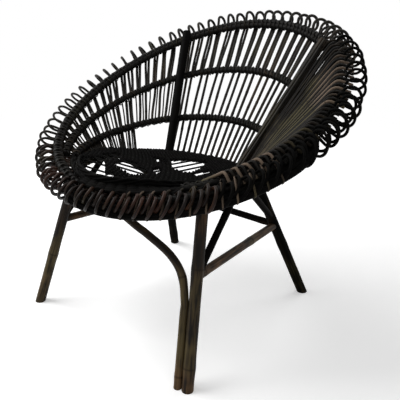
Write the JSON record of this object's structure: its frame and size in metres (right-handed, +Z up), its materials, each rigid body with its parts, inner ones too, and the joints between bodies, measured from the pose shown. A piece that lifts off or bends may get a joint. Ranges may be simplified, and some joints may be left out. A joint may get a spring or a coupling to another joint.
{
  "type": "rattan chair",
  "caption": "Round rattan tub chair: a reclined basket of looped canes on hoops, with a laced cane seat, on splayed pole legs tied by stretchers and braces.",
  "frame": {"origin": "on the floor under the middle of the bounding box", "axes": "+Z up, the chair faces -Y, +X is towards the sitter's left"},
  "size_m": [0.8248, 0.7548, 0.7465],
  "materials": {
    "rattan_pole": "dark brown stained rattan pole, satin",
    "rattan_hoop": "near-black stained rattan, satin",
    "seat_cane": "near-black stained cane, satin",
    "wall_cane": "near-black stained cane, satin"
  },
  "bodies": {
    "root": {"leg_front_left": "rattan_pole", "leg_front_right": "rattan_pole", "leg_rear_left": "rattan_pole", "leg_rear_right": "rattan_pole", "back_post_left": "rattan_pole", "back_post_right": "rattan_pole", "side_stretcher_left": "rattan_pole", "side_stretcher_right": "rattan_pole", "side_brace_front_left": "rattan_pole", "side_brace_front_right": "rattan_pole", "side_brace_rear_left": "rattan_pole", "side_brace_rear_right": "rattan_pole", "rear_stretcher": "rattan_pole", "front_bow_brace": "rattan_pole", "seat_ring": "rattan_hoop", "seat_inner_hoop": "rattan_hoop", "lower_hoop": "rattan_hoop", "middle_hoop": "rattan_hoop", "rim_hoop": "rattan_hoop", "seat_canes_lengthwise": "seat_cane", "seat_canes_crosswise": "seat_cane", "wall_cane_01": "wall_cane", "wall_cane_02": "wall_cane", "wall_cane_03": "wall_cane", "wall_cane_04": "wall_cane", "wall_cane_05": "wall_cane", "wall_cane_06": "wall_cane", "wall_cane_07": "wall_cane", "wall_cane_08": "wall_cane", "wall_cane_09": "wall_cane", "wall_cane_10": "wall_cane", "wall_cane_11": "wall_cane", "wall_cane_12": "wall_cane", "wall_cane_13": "wall_cane", "wall_cane_14": "wall_cane", "wall_cane_15": "wall_cane", "wall_cane_16": "wall_cane", "wall_cane_17": "wall_cane", "wall_cane_18": "wall_cane", "wall_cane_19": "wall_cane", "wall_cane_20": "wall_cane", "wall_cane_21": "wall_cane", "wall_cane_22": "wall_cane", "wall_cane_23": "wall_cane", "wall_cane_24": "wall_cane", "wall_cane_25": "wall_cane", "wall_cane_26": "wall_cane", "wall_cane_27": "wall_cane", "wall_cane_28": "wall_cane", "wall_cane_29": "wall_cane", "wall_cane_30": "wall_cane", "wall_cane_31": "wall_cane", "wall_cane_32": "wall_cane", "wall_cane_33": "wall_cane", "wall_cane_34": "wall_cane", "wall_cane_35": "wall_cane", "wall_cane_36": "wall_cane", "wall_cane_37": "wall_cane", "wall_cane_38": "wall_cane", "wall_cane_39": "wall_cane"}
  },
  "joints": []
}
